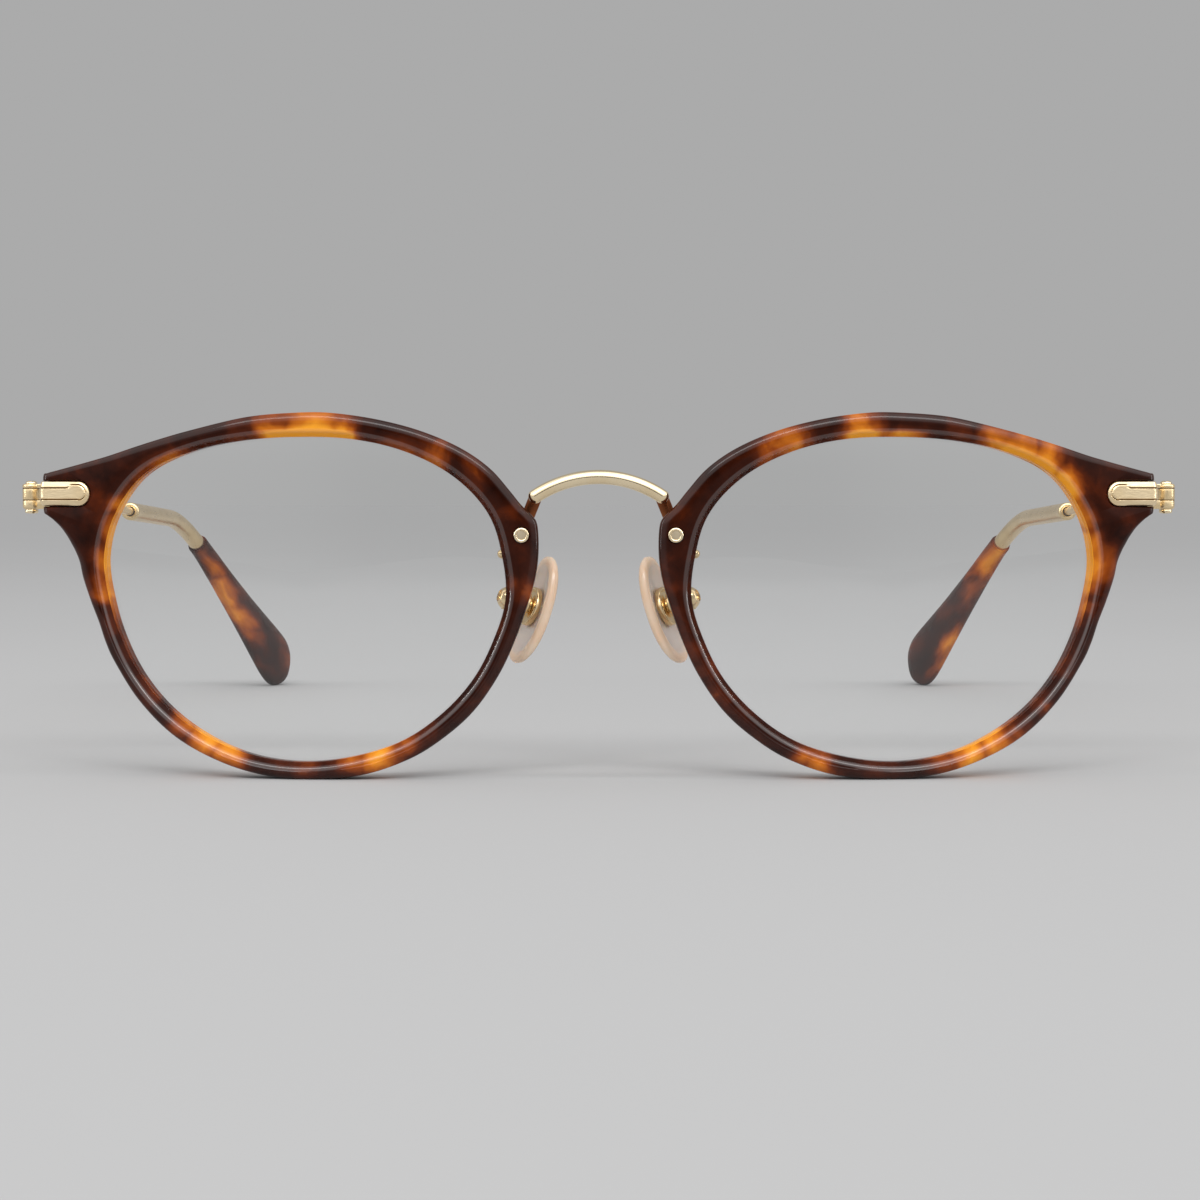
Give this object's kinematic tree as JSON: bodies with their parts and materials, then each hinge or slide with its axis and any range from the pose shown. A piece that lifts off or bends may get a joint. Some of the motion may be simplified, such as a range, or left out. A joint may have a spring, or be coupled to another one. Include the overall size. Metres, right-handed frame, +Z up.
{
  "type": "eyeglasses",
  "caption": "Combination eyeglasses: two tortoiseshell acetate rims, an arched pale gold bridge, rocking nose pads and folding wire temples with tortoiseshell tips.",
  "frame": {"origin": "bottom centre of the bounding box, on the table that the glasses stand on", "axes": "+X to the wearer's left, along the longest extent; +Y from the front back to the temple tips; +Z up"},
  "size_m": [0.1452, 0.1373, 0.0448],
  "materials": {
    "tortoise": "gloss",
    "gold": "polished",
    "satin_gold": "satin",
    "lens": "clear",
    "pad": "satin"
  },
  "bodies": {
    "front": {"left_rim": "tortoise", "right_rim": "tortoise", "left_lens": "lens", "right_lens": "lens", "bridge": "gold", "bridge_rivets": "gold", "left_pad_arm": "gold", "right_pad_arm": "gold", "arm_pegs": "gold", "pad_screws": "gold", "left_endpiece": "gold", "right_endpiece": "gold", "endpiece_screws": "gold", "hinge_screws": "gold", "hinge_nuts": "gold"},
    "left_temple": {"left_temple_wire": "satin_gold", "left_sleeve": "satin_gold", "left_tip": "tortoise"},
    "right_temple": {"right_temple_wire": "satin_gold", "right_sleeve": "satin_gold", "right_tip": "tortoise"},
    "left_pad": {"left_pad_cup": "gold", "left_nose_pad": "pad"},
    "right_pad": {"right_pad_cup": "gold", "right_nose_pad": "pad"}
  },
  "joints": [
    {"name": "left_temple_fold", "type": "hinge", "parent": "front", "child": "left_temple", "pos_m": [0.07148, -0.05823, 0.03456], "axis": [0, 0, 1], "range_deg": [0, 85]},
    {"name": "right_temple_fold", "type": "hinge", "parent": "front", "child": "right_temple", "pos_m": [-0.07148, -0.05823, 0.03456], "axis": [0, 0, -1], "range_deg": [0, 75]},
    {"name": "left_pad_rock", "type": "hinge", "parent": "front", "child": "left_pad", "pos_m": [0.00825, -0.06063, 0.02074], "axis": [-0.8677, 0.3683, -0.3338], "range_deg": [-8, 8]},
    {"name": "right_pad_rock", "type": "hinge", "parent": "front", "child": "right_pad", "pos_m": [-0.00825, -0.06063, 0.02074], "axis": [0.8677, 0.3683, -0.3338], "range_deg": [-8, 8]}
  ]
}
